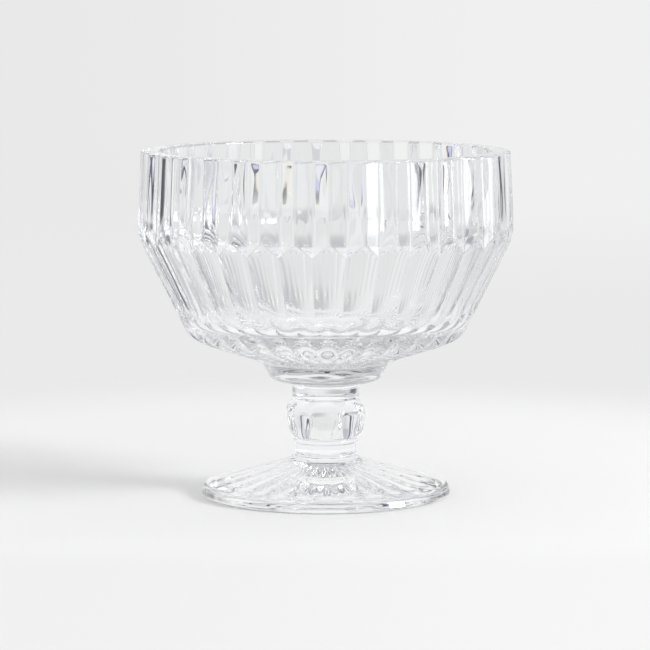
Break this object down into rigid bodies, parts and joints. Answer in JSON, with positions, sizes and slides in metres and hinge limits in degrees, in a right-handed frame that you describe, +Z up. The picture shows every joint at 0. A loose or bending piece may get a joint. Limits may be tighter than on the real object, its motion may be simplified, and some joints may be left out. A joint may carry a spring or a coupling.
{
  "type": "footed bowl",
  "caption": "Clear pressed-glass footed bowl: thick fluted bowl on a faceted knop stem between plain collars, standing on a round rayed foot.",
  "frame": {"origin": "centre of the foot's underside, on the table", "axes": "+Z up along the axis of the bowl, -Y towards the viewer of the picture, +X to the viewer's right"},
  "size_m": [0.12, 0.12, 0.11],
  "materials": {
    "glass": "polished"
  },
  "bodies": {
    "root": {"bowl": "glass", "upper_collar": "glass", "knop": "glass", "lower_collar": "glass", "foot": "glass"}
  },
  "joints": []
}
